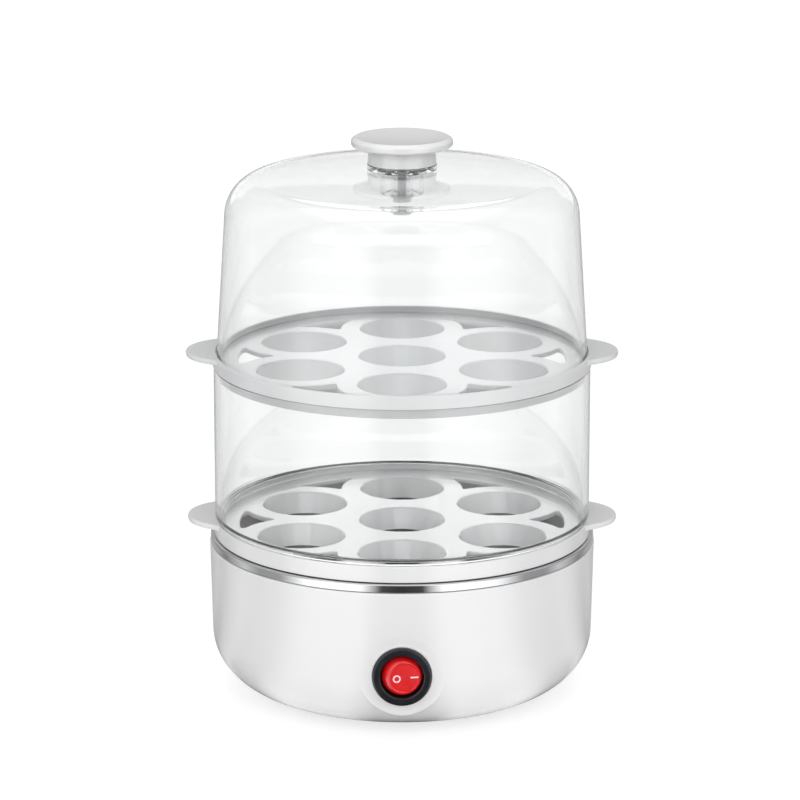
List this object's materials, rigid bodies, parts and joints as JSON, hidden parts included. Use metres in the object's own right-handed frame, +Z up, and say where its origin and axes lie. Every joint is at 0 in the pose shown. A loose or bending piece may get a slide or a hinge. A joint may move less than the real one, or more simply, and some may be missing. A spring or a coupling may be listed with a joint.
{
  "type": "electric egg cooker",
  "caption": "Two-tier electric egg cooker: rounded white base with a red rocker switch, stacked eared egg trays, a clear ring and a clear dome lid with a round knob.",
  "frame": {"origin": "on the cooker's vertical axis, at the bottom of its feet", "axes": "+Z up; the rocker switch faces -Y; the tray ears reach out along +X and -X"},
  "size_m": [0.1726, 0.1629, 0.2273],
  "materials": {
    "white_plastic": "gloss white moulding",
    "frosted_plastic": "frosted translucent moulding",
    "clear_plastic": "clear gloss moulding",
    "pan_steel": "polished stainless rim, black non-stick inside",
    "cast_aluminium": "as cast",
    "zinc_steel": "zinc plated",
    "sheath_steel": "drawn stainless sheath",
    "silicone": "matt silicone",
    "grey_rubber": "matt rubber",
    "ceramic": "unglazed steatite",
    "tinned_brass": "tinned",
    "spring_steel": "drawn wire",
    "black_nylon": "satin moulding",
    "red_rocker": "translucent gloss moulding",
    "lamp_glass": "clear glass",
    "fuse_sleeve": "woven glass sleeve",
    "live_wire": "brown insulation",
    "neutral_wire": "blue insulation",
    "earth_wire": "green and yellow insulation"
  },
  "bodies": {
    "base": {"base_shell": "white_plastic", "bottom_cover": "white_plastic", "rubber_foot_1": "grey_rubber", "rubber_foot_2": "grey_rubber", "rubber_foot_3": "grey_rubber", "rubber_foot_4": "grey_rubber", "cover_screw_1": "zinc_steel", "cover_screw_2": "zinc_steel", "cover_screw_3": "zinc_steel", "tie_post_1": "zinc_steel", "tie_post_2": "zinc_steel", "tie_post_3": "zinc_steel", "heating_pan": "pan_steel", "pan_seal": "silicone", "heat_diffuser": "cast_aluminium", "heater_element": "sheath_steel", "element_terminal_1": "ceramic", "element_terminal_2": "ceramic", "clamp_plate": "zinc_steel", "thermostat": "ceramic", "thermal_fuse": "fuse_sleeve", "fuse_clip": "zinc_steel", "terminal_block": "ceramic", "cord_gland": "grey_rubber", "switch_body": "black_nylon", "terminal_common": "tinned_brass", "terminal_load": "tinned_brass", "terminal_lamp": "tinned_brass", "wire_live": "live_wire", "wire_switched": "live_wire", "wire_element": "live_wire", "wire_neutral": "neutral_wire", "wire_fuse": "neutral_wire", "wire_lamp": "neutral_wire", "wire_earth": "earth_wire"},
    "lower_tray": {"lower_tray": "white_plastic"},
    "middle_ring": {"middle_ring": "clear_plastic"},
    "upper_tray": {"upper_tray": "frosted_plastic"},
    "lid": {"lid_dome": "clear_plastic", "lid_knob": "white_plastic", "knob_washer": "silicone", "knob_screw": "zinc_steel"},
    "rocker": {"switch_rocker": "red_rocker", "switch_plunger": "black_nylon", "switch_spring": "spring_steel", "neon_lamp": "lamp_glass"},
    "contact": {"contact_bar": "tinned_brass"}
  },
  "joints": [
    {"name": "lower_tray_lift", "type": "slide", "parent": "base", "child": "lower_tray", "axis": [0, 0, 1], "range_m": [0, 0.05]},
    {"name": "middle_ring_lift", "type": "slide", "parent": "lower_tray", "child": "middle_ring", "axis": [0, 0, 1], "range_m": [0, 0.09]},
    {"name": "upper_tray_lift", "type": "slide", "parent": "middle_ring", "child": "upper_tray", "axis": [0, 0, 1], "range_m": [0, 0.06]},
    {"name": "lid_lift", "type": "slide", "parent": "upper_tray", "child": "lid", "axis": [0, 0, 1], "range_m": [0, 0.12]},
    {"name": "rocker_tilt", "type": "hinge", "parent": "base", "child": "rocker", "pos_m": [0, -0.076, 0.02999], "axis": [0, 0, 1], "range_deg": [-20, 0]},
    {"name": "contact_seesaw", "type": "hinge", "parent": "base", "child": "contact", "pos_m": [0, -0.0675, 0.02999], "axis": [0, 0, 1], "range_deg": [0, 14]}
  ],
  "couplings": [
    {"joint": "contact_seesaw", "follows": "rocker_tilt", "ratio": -0.7}
  ]
}
